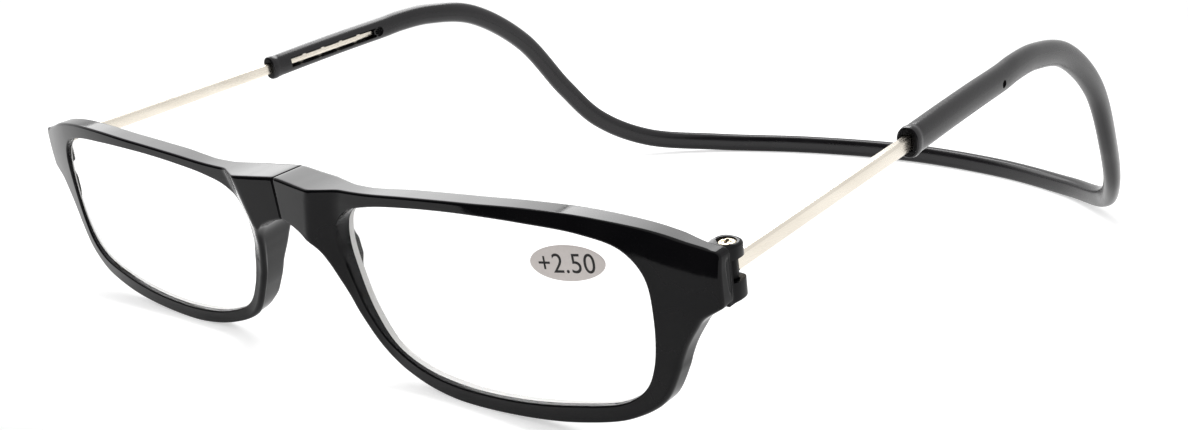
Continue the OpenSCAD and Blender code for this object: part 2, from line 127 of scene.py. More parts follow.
def stand(p):
    """Points of the lens frame, in millimetres, to the floor frame, in metres, none under the floor."""
    p = np.asarray(p, float)
    c, s = math.cos(LEAN), math.sin(LEAN)
    y = p[..., 1] * c - p[..., 2] * s - ORIGIN_Y
    z = p[..., 1] * s + p[..., 2] * c + STAND_Z
    return np.stack([p[..., 0], y, np.maximum(z, 0.0)], -1) / 1000


# Curves


def between(a, b, start, end, t):
    """Point at t on the line that passes a at the start and b at the end."""
    return a * (end - t) / (end - start) + b * (t - start) / (end - start)


def spline(points, steps, closed=False):
    """Centripetal curve through the points; steps is one count, or one for each stretch."""
    p = np.asarray(points, float)
    if closed:
        padded = [p[-1], *p, p[0], p[1]]
    else:
        padded = [2 * p[0] - p[1], *p, 2 * p[-1] - p[-2]]
    stretches = len(padded) - 3
    counts = steps if hasattr(steps, "__len__") else [steps] * stretches
    curve = []
    for i in range(stretches):
        p0, p1, p2, p3 = padded[i:i + 4]
        k = [0.0]
        for a, b in ((p0, p1), (p1, p2), (p2, p3)):
            k.append(k[-1] + max(math.sqrt(np.linalg.norm(b - a)), 1e-6))
        for j in range(counts[i]):
            t = k[1] + (k[2] - k[1]) * j / counts[i]
            a1 = between(p0, p1, k[0], k[1], t)
            a2 = between(p1, p2, k[1], k[2], t)
            a3 = between(p2, p3, k[2], k[3], t)
            b1 = between(a1, a2, k[0], k[2], t)
            b2 = between(a2, a3, k[1], k[3], t)
            curve.append(between(b1, b2, k[1], k[2], t))
    if not closed:
        curve.append(p[-1])
    return np.array(curve)


def outward(curve):
    """Unit normals, to the left of a clockwise closed outline, which is outward."""
    d = np.roll(curve, -1, 0) - np.roll(curve, 1, 0)
    d /= np.maximum(np.linalg.norm(d, axis=1, keepdims=True), 1e-9)
    return np.stack([-d[:, 1], d[:, 0]], 1)


def distance(points, line):
    """Distance from each point to a polyline, worked out in batches to save memory."""
    a, b = line[:-1], line[1:]
    ab = b - a
    length = np.maximum(np.sum(ab * ab, 1), 1e-12)
    out = np.empty(len(points))
    batch = 2000
    for i in range(0, len(points), batch):
        ap = points[i:i + batch, None] - a[None]
        k = np.clip(np.sum(ap * ab, 2) / length, 0, 1)
        out[i:i + batch] = np.sqrt(np.min(np.sum((ap - k[..., None] * ab) ** 2, 2), 1))
    return out


def smooth_max(a, b, r):
    """The larger value, blended where the two differ by less than r."""
    h = np.clip(0.5 + 0.5 * (a - b) / r, 0, 1)
    return b * (1 - h) + a * h + r * h * (1 - h)


def smooth_min(a, b, r):
    """The smaller value, blended where the two differ by less than r."""
    return -smooth_max(-a, -b, r)


def ramp(x, a, b):
    """Eased step from 0 at a to 1 at b."""
    t = np.clip((x - a) / (b - a), 0, 1)
    return t * t * (3 - 2 * t)


def read_off(at, rows, column=1):
    """Value of a column at a place; each row starts with its place, with straight lines between rows."""
    rows = np.array(rows)
    return np.interp(at, rows[:, 0], rows[:, column])


def spread(count):
    """Places from 0 to 1 that lie closer together near both ends."""
    eased = 0.5 - 0.5 * np.cos(np.linspace(0, math.pi, count))
    return 0.3 * np.linspace(0, 1, count) + 0.7 * eased


def quarter_turn(steps):
    """Angles from 0 to a right angle."""
    return [math.pi / 2 * k / steps for k in range(steps + 1)]


def squared(value, power):
    """Sine or cosine raised to a power under 1, which makes a circle squarer."""
    return math.copysign(abs(value) ** power, value)


def rounded(d, r):
    """Drop of a rounded edge of radius r at a distance from the edge."""
    e = np.clip(r - d, 0, r)
    return r - np.sqrt(np.maximum(r * r - e * e, 0))


# Mesh helpers

BOX_FACES = [(0, 1, 3, 2), (4, 6, 7, 5), (0, 4, 5, 1), (2, 3, 7, 6), (0, 2, 6, 4), (1, 5, 7, 3)]


def add_object(name, data):
    """New object with the given data, in the scene."""
    obj = bpy.data.objects.new(name, data)
    bpy.context.scene.collection.objects.link(obj)
    return obj


def shade(mesh, sharp=None):
    """Smooth shading; edges steeper than sharp, in degrees, stay hard."""
    mesh.polygons.foreach_set("use_smooth", [True] * len(mesh.polygons))
    if sharp:
        mesh.set_sharp_from_angle(angle=math.radians(sharp))


def new_mesh(name, points, faces, mirror=False, sharp=None):
    """Object from points of the lens frame; mirror makes the right-hand piece."""
    points = np.array(points, float)
    if mirror:
        points[:, 0] *= -1
        faces = [tuple(reversed(f)) for f in faces]
    mesh = bpy.data.meshes.new(name)
    mesh.from_pydata(stand(points).tolist(), [], [tuple(int(i) for i in f) for f in faces])
    mesh.validate()
    shade(mesh, sharp)
    mesh.update()
    return add_object(name, mesh)


def tube_faces(rings, around, close_rings=False, caps=False):
    """Faces between rings of equal count; the last ring joins the first if close_rings."""
    faces = []
    for i in range(rings if close_rings else rings - 1):
        here, there = i * around, (i + 1) % rings * around
        for k in range(around):
            after = (k + 1) % around
            faces.append((here + k, here + after, there + after, there + k))
    if caps:
        faces.append(tuple(reversed(range(around))))
        faces.append(tuple((rings - 1) * around + k for k in range(around)))
    return faces


def outward_faces(obj):
    """Turns all faces of a closed mesh outward."""
    mesh = bmesh.new()
    mesh.from_mesh(obj.data)
    bmesh.ops.recalc_face_normals(mesh, faces=mesh.faces)
    mesh.to_mesh(obj.data)
    mesh.free()


def apply_modifiers(obj):
    """Makes the result of the modifiers the object's own mesh."""
    depsgraph = bpy.context.evaluated_depsgraph_get()
    mesh = bpy.data.meshes.new_from_object(obj.evaluated_get(depsgraph))
    obj.modifiers.clear()
    obj.data = mesh


def carve(obj, cutters, operation="DIFFERENCE"):
    """Applies booleans with the cutters, then deletes them."""
    for cutter in cutters:
        outward_faces(cutter)
        modifier = obj.modifiers.new("cut", "BOOLEAN")
        modifier.operation = operation
        modifier.solver = "EXACT"
        modifier.object = cutter
    apply_modifiers(obj)
    for cutter in cutters:
        bpy.data.objects.remove(cutter)


def soften(obj, width, segments, angle):
    """Bevels the edges steeper than the angle and keeps the result as the mesh."""
    modifier = obj.modifiers.new("bevel", "BEVEL")
    modifier.width = width / 1000
    modifier.segments = segments
    modifier.limit_method = "ANGLE"
    modifier.angle_limit = math.radians(angle)
    apply_modifiers(obj)
    shade(obj.data, 50)


def box_mm(name, lo, hi, mirror=False):
    """Box between two corners."""
    points = [(x, y, z) for x in (lo[0], hi[0]) for y in (lo[1], hi[1]) for z in (lo[2], hi[2])]
    return new_mesh(name, points, BOX_FACES, mirror)


def post_mm(name, profile, centre, axis="z", around=48, mirror=False):
    """Turned solid; the profile is a list of (radius, height) from one end to the other."""
    points = []
    for r, h in profile:
        for k in range(around):
            a = 2 * math.pi * k / around
            u, w = r * math.cos(a), r * math.sin(a)
            points.append((u, w, h) if axis == "z" else (h, u, w))
    points = np.array(points) + np.array(centre)
    return new_mesh(name, points, tube_faces(len(profile), around, caps=True), mirror)


def rounded_profile(r, low, high, edge, steps=5):
    """Profile of a post with rounded rims."""
    turns = quarter_turn(steps)
    out = [(r - edge + edge * math.sin(a), low + edge - edge * math.cos(a)) for a in turns]
    out += [(r - edge + edge * math.cos(a), high - edge + edge * math.sin(a)) for a in turns]
    return out


def dress(obj, material, body, slot, *nodes):
    """Material, body and the CAD nodes that the piece stands for; the slot argument is not used."""
    obj.data.materials.clear()
    obj.data.materials.append(material)
    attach(obj, body)
    if nodes:
        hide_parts(*nodes)
    return obj


# Materials


class Nodes:
    """Small builder for a node tree."""

    def __init__(self, tree):
        self.tree = tree

    def add(self, kind, **values):
        node = self.tree.nodes.new("ShaderNode" + kind)
        for name, value in values.items():
            setattr(node, name, value)
        return node

    def link(self, output, socket):
        self.tree.links.new(output, socket)

    def math(self, operation, *values):
        node = self.add("Math", operation=operation)
        for socket, value in zip(node.inputs, values):
            if isinstance(value, (int, float)):
                socket.default_value = value
            else:
                self.link(value, socket)
        return node.outputs[0]

    def remap(self, value, lo, hi, start=0.3, end=0.7, **kind):
        """The value carried from the range start to end over to the range lo to hi."""
        node = self.add("MapRange", **kind)
        for name, number in (("From Min", start), ("From Max", end), ("To Min", lo), ("To Max", hi)):
            node.inputs[name].default_value = number
        self.link(value, node.inputs["Value"])
        return node.outputs["Result"]


class Surface(Nodes):
    """Node tree of one material, around its principled shader."""

    SOCKETS = {
        "color": "Base Color", "metal": "Metallic", "rough": "Roughness", "ior": "IOR",
        "spec": "Specular IOR Level", "clear": "Transmission Weight",
    }

    def __init__(self, name):
        self.material = bpy.data.materials.new(name)
        self.material.use_nodes = True
        super().__init__(self.material.node_tree)
        self.shader = self.tree.nodes["Principled BSDF"]
        self.out = self.tree.nodes["Material Output"]

    def noise(self, scale, detail=3.0, rough=0.5, stretch=(1, 1, 1)):
        """Noise over the object's own coordinates; a small stretch draws it out along that axis."""
        coords = self.add("TexCoord")
        mapping = self.add("Mapping")
        mapping.inputs["Scale"].default_value = stretch
        self.link(coords.outputs["Object"], mapping.inputs["Vector"])
        node = self.add("TexNoise")
        node.inputs["Scale"].default_value = scale
        node.inputs["Detail"].default_value = detail
        node.inputs["Roughness"].default_value = rough
        self.link(mapping.outputs["Vector"], node.inputs["Vector"])
        return node.outputs["Fac"]

    def tones(self, value, dark, light, start=0.3, end=0.7):
        """Colour between two tones, as the value goes from start to end."""
        node = self.add("ValToRGB")
        for element, place, tone in zip(node.color_ramp.elements, (start, end), (dark, light)):
            element.position = place
            element.color = (*tone, 1)
        self.link(value, node.inputs["Fac"])
        return node.outputs["Color"]

    def bump(self, height, distance, strength):
        node = self.add("Bump")
        node.inputs["Distance"].default_value = distance
        node.inputs["Strength"].default_value = strength
        self.link(height, node.inputs["Height"])
        self.link(node.outputs["Normal"], self.shader.inputs["Normal"])

    def put(self, **values):
        """Sets or links the shader's sockets."""
        for name, value in values.items():
            socket = self.shader.inputs[self.SOCKETS[name]]
            if isinstance(value, (int, float, tuple)):
                socket.default_value = value
            else:
                self.link(value, socket)


def gloss_black():
    m = Surface("polished_black")
    wide = m.noise(160, 2)
    fine = m.noise(2600, 4, 0.6)
    color = m.tones(wide, (0.0035, 0.0035, 0.0042), (0.0055, 0.0053, 0.006), 0.35, 0.65)
    rough = m.remap(m.math("MULTIPLY", wide, fine), 0.045, 0.1, 0.15, 0.4)
    m.put(color=color, rough=rough, spec=0.15)
    m.bump(m.math("ADD", wide, m.math("MULTIPLY", fine, 0.06)), 0.000035, 0.6)
    return m.material


def satin_band():
    m = Surface("satin_neckband")
    grain = m.noise(5200, 3, 0.6)
    wide = m.noise(120, 2)
    color = m.tones(wide, (0.0085, 0.0078, 0.009), (0.0125, 0.0115, 0.013))
    m.put(color=color, rough=m.remap(wide, 0.21, 0.27), spec=0.34)
    m.bump(grain, 0.00002, 0.5)
    return m.material


def drawn_rod():
    m = Surface("drawn_rod")
    lines = m.noise(9000, 3, 0.6, (1, 0.012, 1))
    wide = m.noise(300, 2, stretch=(1, 0.3, 1))
    color = m.tones(wide, (0.72, 0.665, 0.575), (0.79, 0.735, 0.645))
    m.put(color=color, metal=1.0, rough=m.remap(lines, 0.2, 0.32))
    m.bump(lines, 0.000006, 0.6)
    return m.material


def plated_screw():
    m = Surface("plated_screw")
    grain = m.noise(4000)
    color = m.tones(grain, (0.6, 0.5, 0.36), (0.74, 0.66, 0.52))
    m.put(color=color, metal=1.0, rough=m.remap(grain, 0.16, 0.3))
    m.bump(grain, 0.000008, 0.5)
    return m.material


def barrel_black():
    m = Surface("barrel_black")
    grain = m.noise(6000, 4, 0.7)
    color = m.tones(grain, (0.002, 0.002, 0.0022), (0.006, 0.0055, 0.006))
    m.put(color=color, rough=m.remap(grain, 0.38, 0.55), spec=0.12)
    m.bump(grain, 0.00003, 0.7)
    return m.material


def magnet_nickel():
    m = Surface("magnet_nickel")
    grain = m.noise(3500)
    color = m.tones(grain, (0.62, 0.62, 0.63), (0.74, 0.74, 0.75))
    m.put(color=color, metal=1.0, rough=m.remap(grain, 0.2, 0.32))
    return m.material


def lens_clear():
    """Clear plastic that lets shadow and diffuse rays straight through."""
    m = Surface("clear_lens")
    haze = m.noise(260)
    m.put(color=(1, 1, 1, 1), rough=m.remap(haze, 0.0, 0.012, 0.4, 0.8), ior=1.49, clear=1.0)
    path = m.add("LightPath")
    straight = m.add("BsdfTransparent")
    mix = m.add("MixShader")
    through = m.math("MAXIMUM", path.outputs["Is Shadow Ray"], path.outputs["Is Diffuse Ray"])
    for output, socket in zip((through, m.shader.outputs[0], straight.outputs[0]), mix.inputs):
        m.link(output, socket)
    m.link(mix.outputs[0], m.out.inputs["Surface"])
    return m.material


def ground_edge():
    m = Surface("ground_lens_edge")
    grain = m.noise(3000, 3, 0.6)
    color = m.tones(grain, (0.86, 0.85, 0.83), (0.93, 0.925, 0.91))
    m.put(color=color, rough=m.remap(grain, 0.5, 0.65), spec=0.3)
    m.bump(grain, 0.00001, 0.5)
    return m.material


def sticker_film():
    m = Surface("sticker_film")
    fibre = m.noise(1800, 4, 0.6)
    color = m.tones(fibre, (0.79, 0.73, 0.70), (0.83, 0.77, 0.74))
    m.put(color=color, rough=m.remap(fibre, 0.42, 0.55))
    m.bump(fibre, 0.000006, 0.4)
    return m.material


def sticker_ink():
    m = Surface("sticker_ink")
    grain = m.noise(5000)
    color = m.tones(grain, (0.012, 0.011, 0.012), (0.03, 0.028, 0.028))
    m.put(color=color, rough=m.remap(grain, 0.45, 0.6))
    return m.material


GLOSS = gloss_black()
BAND = satin_band()
ROD = drawn_rod()
SCREW = plated_screw()
BARREL = barrel_black()
NICKEL = magnet_nickel()
LENS = lens_clear()
GROUND = ground_edge()
FILM = sticker_film()
INK = sticker_ink()

# Outlines of the left half front

# Width of the rim at its top, brow, side, lower and inner stretches
TOP, BROW, SIDE, LOW, INNER = 1.5, 2.3, 2.6, 2.1, 1.7

# Points of the opening: across and up, as shares of its half sizes, and the width of the rim there
OPENING = np.array([
    (-0.866, 0.768, TOP + 0.9), (-0.708, 0.856, TOP + 0.4), (-0.391, 0.936, TOP), (0.004, 0.992, TOP),
    (0.36, 1.0, (TOP + BROW) / 2), (0.676, 0.96, BROW), (0.874, 0.848, BROW + 0.6), (0.972, 0.616, SIDE),
    (0.996, 0.184, SIDE + 1.6), (0.97, -0.296, SIDE + 0.3), (0.915, -0.544, SIDE), (0.8, -0.72, LOW + 0.1),
    (0.518, -0.856, LOW + 0.2), (0.123, -0.968, LOW), (-0.273, -1.0, LOW), (-0.569, -0.936, LOW - 0.2),
    (-0.767, -0.768, INNER + 0.3), (-0.889, -0.44, INNER + 0.25), (-0.964, -0.016, INNER + 0.7),
    (-1.0, 0.344, INNER + 2), (-0.968, 0.608, INNER + 2),
])
OPENING_STEPS = 40
opening_points = np.stack([MID_X + OPENING[:, 0] * OPEN_W / 2, MID_Z + OPENING[:, 1] * OPEN_H / 2], 1)
opening_curve = spline(opening_points, OPENING_STEPS, closed=True)
rim_points = opening_points + OPENING[:, 2:] * outward(opening_points)


def beside_opening(first, last, splayed=len(OPENING)):
    """Rows of the outer outline that lie one rim's width off the opening, splayed from a point on."""
    return [(*rim_points[i], i, 1 if i >= splayed else 0) for i in range(first, last + 1)]


# Outer outline: each point with its place along the opening, and the share of the splay of the nose wall
OUTER = [
    # Bridge block, from the split
    (SPLIT_X, 15.6, -0.45, 0), (SPLIT_X, 16.2, -0.42, 0), (SPLIT_X, 16.46, -0.39, 0),
    (0.13, 16.56, -0.37, 0), (0.26, BRIDGE_TOP, -0.35, 0), (NOSE - 4.6, 16.35, -0.05, 0),
    (FACET_X, 16.2, 0.2, 0), (NOSE + 1.4, 16.15, 0.45, 0),
    # Brow
    *beside_opening(1, 5),
    (60.0, 16.93, 5.6, 0), (64.6, 15.62, 6.0, 0),
    # End piece
    (67.2, 14.9, 6.3, 0), (68.15, 14.66, 6.44, 0), (END_X, 14.3, 6.52, 0), (END_X, 12.4, 6.7, 0),
    (END_X, 10.0, 6.9, 0), (END_X, 8.8, 6.98, 0), (68.38, 8.2, 7.05, 0), (67.8, 7.75, 7.15, 0),
    (66.85, 7.1, 7.3, 0), (65.7, 6.2, 7.5, 0), (64.75, 4.8, 7.8, 0), (63.6, 2.8, 8.3, 0),
    (62.8, 0.9, 8.75, 0),
    # Lower rim and nose
    *beside_opening(9, 17, splayed=15),
    (8.15, 2.7, 17.9, 1), (7.25, 4.9, 18.2, 1), (6.2, 7.3, 18.6, 1), (4.75, 8.85, 18.95, 1),
    # Underside of the bridge
    (2.85, 9.8, 19.2, 1), (1.2, 10.25, 19.35, 0.7), (0.4, 10.42, 19.42, 0.35), (0.22, BRIDGE_LOW, 19.5, 0),
    # Split
    (0.1, 10.52, 19.55, 0), (SPLIT_X, 10.65, 19.6, 0), (SPLIT_X, 10.95, 19.65, 0), (SPLIT_X, 11.6, 19.75, 0),
    (SPLIT_X, 13.0, 20.1, 0), (SPLIT_X, 14.6, 20.45, 0),
]
OUTER_STEP = 0.32


def front_outline():
    """Dense outer outline with, for each point, its partner on the opening and its share of the splay."""
    points = np.array(OUTER, float)
    following = np.roll(points, -1, 0)
    following[-1, 2] += len(OPENING)
    steps = []
    places = []
    splay = []
    for a, b in zip(points, following):
        count = max(3, min(26, int(np.linalg.norm(b[:2] - a[:2]) / OUTER_STEP)))
        steps.append(count)
        for j in range(count):
            place, share = a[2:] + (b[2:] - a[2:]) * (j / count)
            places.append(place)
            splay.append(share)
    outer = spline(points[:, :2], steps, closed=True)
    places = (np.array(places) % len(OPENING)) * OPENING_STEPS
    before = np.floor(places).astype(int)
    f = (places - before)[:, None]
    count = len(opening_curve)
    inner = opening_curve[before % count] * (1 - f) + opening_curve[(before + 1) % count] * f
    return outer, inner, np.array(splay)


# Depths of the left half front

# Outer bridge facet: height, set-back and slope
FACET = [
    (-9, 1.7, 0.15), (-6, 1.74, 0.18), (-3, 1.8, 0.2), (0, 1.98, 0.2), (2.7, 1.78, 0.3), (5.1, 1.7, 0.42),
    (8.5, 1.38, 0.5), (11.3, 0.84, 0.48), (16, 0, 0.45),
]
# Face of the rim beside the nose: height and depth
NOSE_FACE = [
    (-11, 0.8), (-9, 1.0), (-7, 1.15), (-3, 1.0), (0, 0.92), (2, 0.95), (5.1, 1.0), (8.5, 0.5), (11.3, 0.22),
    (12.8, 0.1), (14.5, 0),
]
# Line above which the brow rolls back: across and height
BROW_LINE = [(10, 16.1), (20, 16.6), (35, 17.0), (50, 16.6), (58, 14.6), (62, 12.6), (66, 10.8), (69, 9.9)]
# Set-back of the nose side of the back: height and depth
NOSE_BACK = [(-9, 0.1), (-5, 0.35), (0, 0.9), (4, 1.4), (7.5, 1.65), (9.5, 1.2), (12, 0.55), (14.5, 0)]
# Back of the bridge block and rim, and of the saddle under the block: across and depth
BLOCK_BACK = [(0, 4.6), (8, 4.0), (13, 2.8), (16.6, 2.6), (23.6, 3.0), (35, 3.0)]
SADDLE_BACK = [(0, 5.2), (12.6, 5.2), (18.6, 3.2), (23.6, 2.9)]


def wrap(x):
    """Depth of the face-form curve of the outer half."""
    return WRAP_R - np.sqrt(np.maximum(WRAP_R ** 2 - np.maximum(x - WRAP_X, 0) ** 2, 1))


def face_y(x, z):
    """Depth of the front face: two bridge facets, the nose side set back, flat rim, wrapped end."""
    near = SPLIT_Y + (FACET_Y - SPLIT_Y) * x / FACET_X
    far = FACET_Y + read_off(z, FACET, 2) * (x - FACET_X) + read_off(z, FACET, 1)
    rest = read_off(z, NOSE_FACE) * (1 - ramp(x, 13, 30))
    blend = 0.22 + 0.9 * (1 - ramp(z, 6.8, 9.6))
    return smooth_max(near, smooth_min(far, rest, 0.4), blend) + wrap(x)


def crown(x, z):
    """The brow rolls back a little towards the top edge."""
    above = np.maximum(z - read_off(x, BROW_LINE), 0)
    return ramp(x, 11, 24) * 0.012 * above * above


def back_y(x, z):
    """Depth of the back: rim, bridge block and the deeper nose saddle under it."""
    block = read_off(x, BLOCK_BACK)
    saddle = np.maximum(read_off(x, SADDLE_BACK) - block, 0)
    y = block + saddle * (1 - ramp(z, 10.0, 10.8))
    y = y - 0.6 * ramp(x, 63, 66.5) * ramp(z, 6, 8)
    return y + wrap(x) + read_off(z, NOSE_BACK) * ramp(x, 2.0, 8.5) * (1 - ramp(x, 13, 25))


def nose_shift(y):
    """How far the nose wall stands off at a depth, as the nose gap widens towards the face."""
    return np.maximum(y, 0) * SPLAY


def lens_front(x, z):
    """Depth of the front of the left lens."""
    u, w = x - MID_X, z - MID_Z
    return LENS_Y + LENS_TURN * u + LENS_FRONT_R - np.sqrt(LENS_FRONT_R ** 2 - u ** 2 - w ** 2)


def lens_back(x, z):
    """Depth of the back of the left lens, which is thicker at the nose."""
    u, w = x - MID_X, z - MID_Z
    middle = LENS_Y + LENS_T + (LENS_TURN - LENS_WEDGE) * u
    return middle + LENS_BACK_R - np.sqrt(LENS_BACK_R ** 2 - u ** 2 - w ** 2)


def nose_limit(inner, splay):
    """Greatest depth of the splayed nose wall, a little behind the lens; the rest has no limit."""
    x, z = inner[:, 0], inner[:, 1]
    behind = lens_back(x, z) + 0.25 + 0.2 * np.maximum(z + 1, 0)
    return np.where(splay > 0, behind, np.inf)


def face_edge(x, z):
    """Radius of the outer edge of the face, softer at the end piece, the lower temple and the nose."""
    end = ramp(x, 54, 63) * (1 - ramp(x, 66.6, 68)) * ramp(z, 11, 13.5)
    temple = ramp(x, 54, 60) * (1 - ramp(z, 6.5, 8.2))
    nose = (1 - ramp(x, 13, 18)) * (1 - ramp(z, 6, 8.8))
    return FACE_EDGE + 0.3 * end + 0.4 * temple + 0.5 * nose


def groove(x, y, z):
    """Depth of the line that runs down the side of the end piece."""
    width = 0.13 + 0.13 * ramp(z, 9, 13.5)
    line = np.exp(-((y - wrap(x) - 1.65) / width) ** 2)
    return 0.36 * line * (ramp(z, 8.9, 11.5) - ramp(z, 12.9, 13.5)) * (x > 67)


# Front shells


def rounded_line(outer):
    """The outer edge that is rounded: all but the split, and straight on past it."""
    free = np.flatnonzero(outer[:, 0] >= SPLIT_X + 0.01)
    start = [(-4, BRIDGE_TOP), (0, BRIDGE_TOP)]
    end = [(0, BRIDGE_LOW), (-4, BRIDGE_LOW)]
    return np.vstack([start, outer[free[0] + 2:free[-1] - 1], end])


def rim(face_rows=36, wall_rows=20, hole_rows=8):
    """Points and faces of the left half front, in rows round from the opening over face, wall and back."""
    outer, inner, splay = front_outline()
    outer_line = rounded_line(outer)
    hole_line = np.vstack([opening_curve, opening_curve[:1]])

    def drop(p, outer_edge, hole_edge):
        """How far the rounded edges drop at points of the face or back."""
        bridge = 0.06 * (1 - ramp(p[:, 0], 3, 10))
        outer_drop = rounded(distance(p, outer_line), outer_edge + bridge)
        hole_drop = rounded(distance(p, hole_line), hole_edge)
        return outer_drop + hole_drop + rounded(np.maximum(p[:, 0] - SPLIT_X, 0), SPLIT_EDGE)

    rows = []
    for f in spread(face_rows):
        p = inner + (outer - inner) * f
        x, z = p[:, 0], p[:, 1]
        y = face_y(x, z) + crown(x, z) + drop(p, face_edge(x, z), FACE_HOLE_EDGE)
        rows.append(np.stack([x, y, z], 1))

    # Outer wall, splayed at the nose and grooved at the end piece
    limit = nose_limit(inner, splay)
    depth = np.minimum(back_y(outer[:, 0], outer[:, 1]), limit)
    shift = np.stack([nose_shift(depth) * splay, np.zeros(len(outer))], 1)
    back_outer = outer + shift
    y0 = rows[-1][:, 1]
    y1 = np.minimum(back_y(back_outer[:, 0], back_outer[:, 1]), limit) - BACK_EDGE
    for f in np.linspace(0, 1, wall_rows + 1)[1:]:
        y = y0 + (y1 - y0) * f
        x = outer[:, 0] + nose_shift(y) * splay
        z = outer[:, 1]
        rows.append(np.stack([x - groove(x, y, z), y, z], 1))

    # Back, which falls to a lip close behind the lens
    x, z = inner[:, 0], inner[:, 1]
    lip = lens_back(x, z) + 0.06 + 0.6 * (ramp(z, 3.6, 5.4) - ramp(z, 7, 8.8))
    for f in spread(face_rows)[::-1][1:]:
        p = inner + (back_outer - inner) * f
        y = np.minimum(back_y(p[:, 0], p[:, 1]), lip + 0.45 * np.linalg.norm(p - inner, axis=1))
        y = y - drop(p - shift * f, BACK_EDGE, BACK_HOLE_EDGE)
        rows.append(np.stack([p[:, 0], y, p[:, 1]], 1))

    # Wall of the opening
    y0, y1 = rows[-1][:, 1], rows[0][:, 1]
    for f in np.linspace(0, 1, hole_rows)[1:-1]:
        rows.append(np.stack([x, y0 + (y1 - y0) * f, z], 1))
    return np.stack(rows, 1).reshape(-1, 3), tube_faces(len(outer), len(rows), close_rings=True)


# Hinge lugs

# Top of the lugs: across, height, and how much lower it is at the front
LUG_TOP = [(65.8, 14.98, 0.1), (67.3, 14.93, 0.2), (68.2, 14.82, 0.42), (68.9, 14.6, 0.42)]


def lug_top(x, y):
    """Height of the top of the lugs."""
    lower = read_off(x, LUG_TOP, 2) * (1 - ramp(y, 6.6, 7.7))
    return read_off(x, LUG_TOP, 1) - 0.1 * max(y - 7.6, 0) - lower


def lug_loop(inset):
    """Outline of the lugs from above: rounded at the back, narrower where they enter the end piece."""
    r, back = LUG_R - inset, LUG_BACK - inset
    front = wrap(HINGE_X) + 1.6
    flush = min(r, LUG_FLUSH)
    loop = []
    for k in range(61):
        a = math.pi * k / 60
        loop.append((r * squared(math.cos(a), 0.7), HINGE_Y + back * max(math.sin(a), 0) ** 0.7))
    loop += [(-r, front + 1.5), (-r, front + 0.8), (-r, front), (-r / 2, front)]
    loop += [(flush / 2, front), (flush, front), (flush, front + 0.5), (flush, 6.85)]
    loop += [((flush + r) / 2 - 0.05, 7.15), (r - 0.1, 7.5), (r - 0.02, 7.9)]
    return [(HINGE_X + x, y) for x, y in loop]


def lug(name, mirror):
    """Hinge block behind the end piece: two lugs with the slot, its bore and the screw's recess."""
    low_edge, top_edge = 0.4, 0.25
    turns = quarter_turn(5)
    bottom = [(low_edge * (1 - math.sin(a)), LUG_BOTTOM + low_edge * (1 - math.cos(a))) for a in turns]
    top = [(top_edge * (1 - math.cos(a)), top_edge * (math.sin(a) - 1)) for a in turns]
    points = []
    for inset, z in [(1.2, LUG_BOTTOM), *bottom]:
        points += [(x, y, z) for x, y in lug_loop(inset)]
    for inset, z in [*top, (0.8, 0), (1.2, 0)]:
        points += [(x, y, lug_top(x, y) + z) for x, y in lug_loop(inset)]
    around = len(lug_loop(0))
    obj = new_mesh(name, points, tube_faces(len(points) // around, around, caps=True), mirror)
    outward_faces(obj)
    slot = (HINGE_X - 3, SLOT_FRONT, SLOT_LOW), (HINGE_X + 3, HINGE_Y + 4, SLOT_HIGH)
    carve(obj, [
        post_mm("cut", [(SLOT_R, SLOT_LOW), (SLOT_R, SLOT_HIGH)], HINGE_AXIS, mirror=mirror),
        box_mm("cut", *slot, mirror),
        post_mm("cut", [(RECESS_R, RECESS_Z), (RECESS_R, 16)], HINGE_AXIS, mirror=mirror),
    ])
    soften(obj, 0.14, 3, 40)
    return obj


shell = rim()
for side in ("left", "right"):
    flip = side == "right"
    piece = new_mesh("front_shell_" + side, *shell, flip)
    outward_faces(piece)
    dress(piece, GLOSS, "half_" + side, "front", "front_" + side)
    piece = lug("hinge_lugs_" + side, flip)
    dress(piece, GLOSS, "half_" + side, "front", "front_" + side)

# Lenses


def lens(name, mirror, rings=18):
    """Clear lens between two spheres, and the numbers of the faces of its ground edge."""
    outline = spline(opening_points, 6, closed=True)
    outline = outline - LENS_PLAY * outward(outline)
    n = len(outline)
    centre = np.array([MID_X, MID_Z])
    layers = []
    for surface, order in ((lens_front, range(1, rings + 1)), (lens_back, range(rings, 0, -1))):
        for k in order:
            q = centre + (outline - centre) * (k / rings)
            layers.append(np.stack([q[:, 0], surface(q[:, 0], q[:, 1]), q[:, 1]], 1))
    middles = [(MID_X, surface(MID_X, MID_Z), MID_Z) for surface in (lens_front, lens_back)]
    points = np.vstack([*layers, middles])
    faces = tube_faces(len(layers), n)
    last = (len(layers) - 1) * n
    faces += [(last + n, (k + 1) % n, k) for k in range(n)]
    faces += [(last + n + 1, last + k, last + (k + 1) % n) for k in range(n)]
    obj = new_mesh(name, points, faces, mirror, sharp=40)
    outward_faces(obj)
    return obj, range((rings - 1) * n, rings * n)


for side in ("left", "right"):
    piece, edge = lens("lens_glass_" + side, side == "right")
    dress(piece, LENS, "half_" + side, "lens", "lens_" + side)
    piece.data.materials.append(GROUND)
    for i in edge:
        piece.data.polygons[i].material_index = 1

# Power sticker with plain digits

STICKER_X, STICKER_Z = 49.43, 11.75
STICKER_HALF_W, STICKER_HALF_H = 5.18, 2.2
STICKER_TILT = math.radians(5.6)
FILM_T = 0.12
INK_T = 0.01
# Film from its middle to its rim: share of its size and height over the lens
FILM_ROWS = [(0.5, FILM_T), (0.9, FILM_T), (0.975, 0.115), (0.995, 0.09), (1.0, 0.05), (1.0, 0.02)]


def on_sticker(x, z, off):
    """Points of the tilted sticker, off millimetres in front of the left lens."""
    c, s = math.cos(STICKER_TILT), math.sin(STICKER_TILT)
    u = STICKER_X + x * c - z * s
    w = STICKER_Z + x * s + z * c
    return np.stack([u, lens_front(u, w) - off, w], -1)


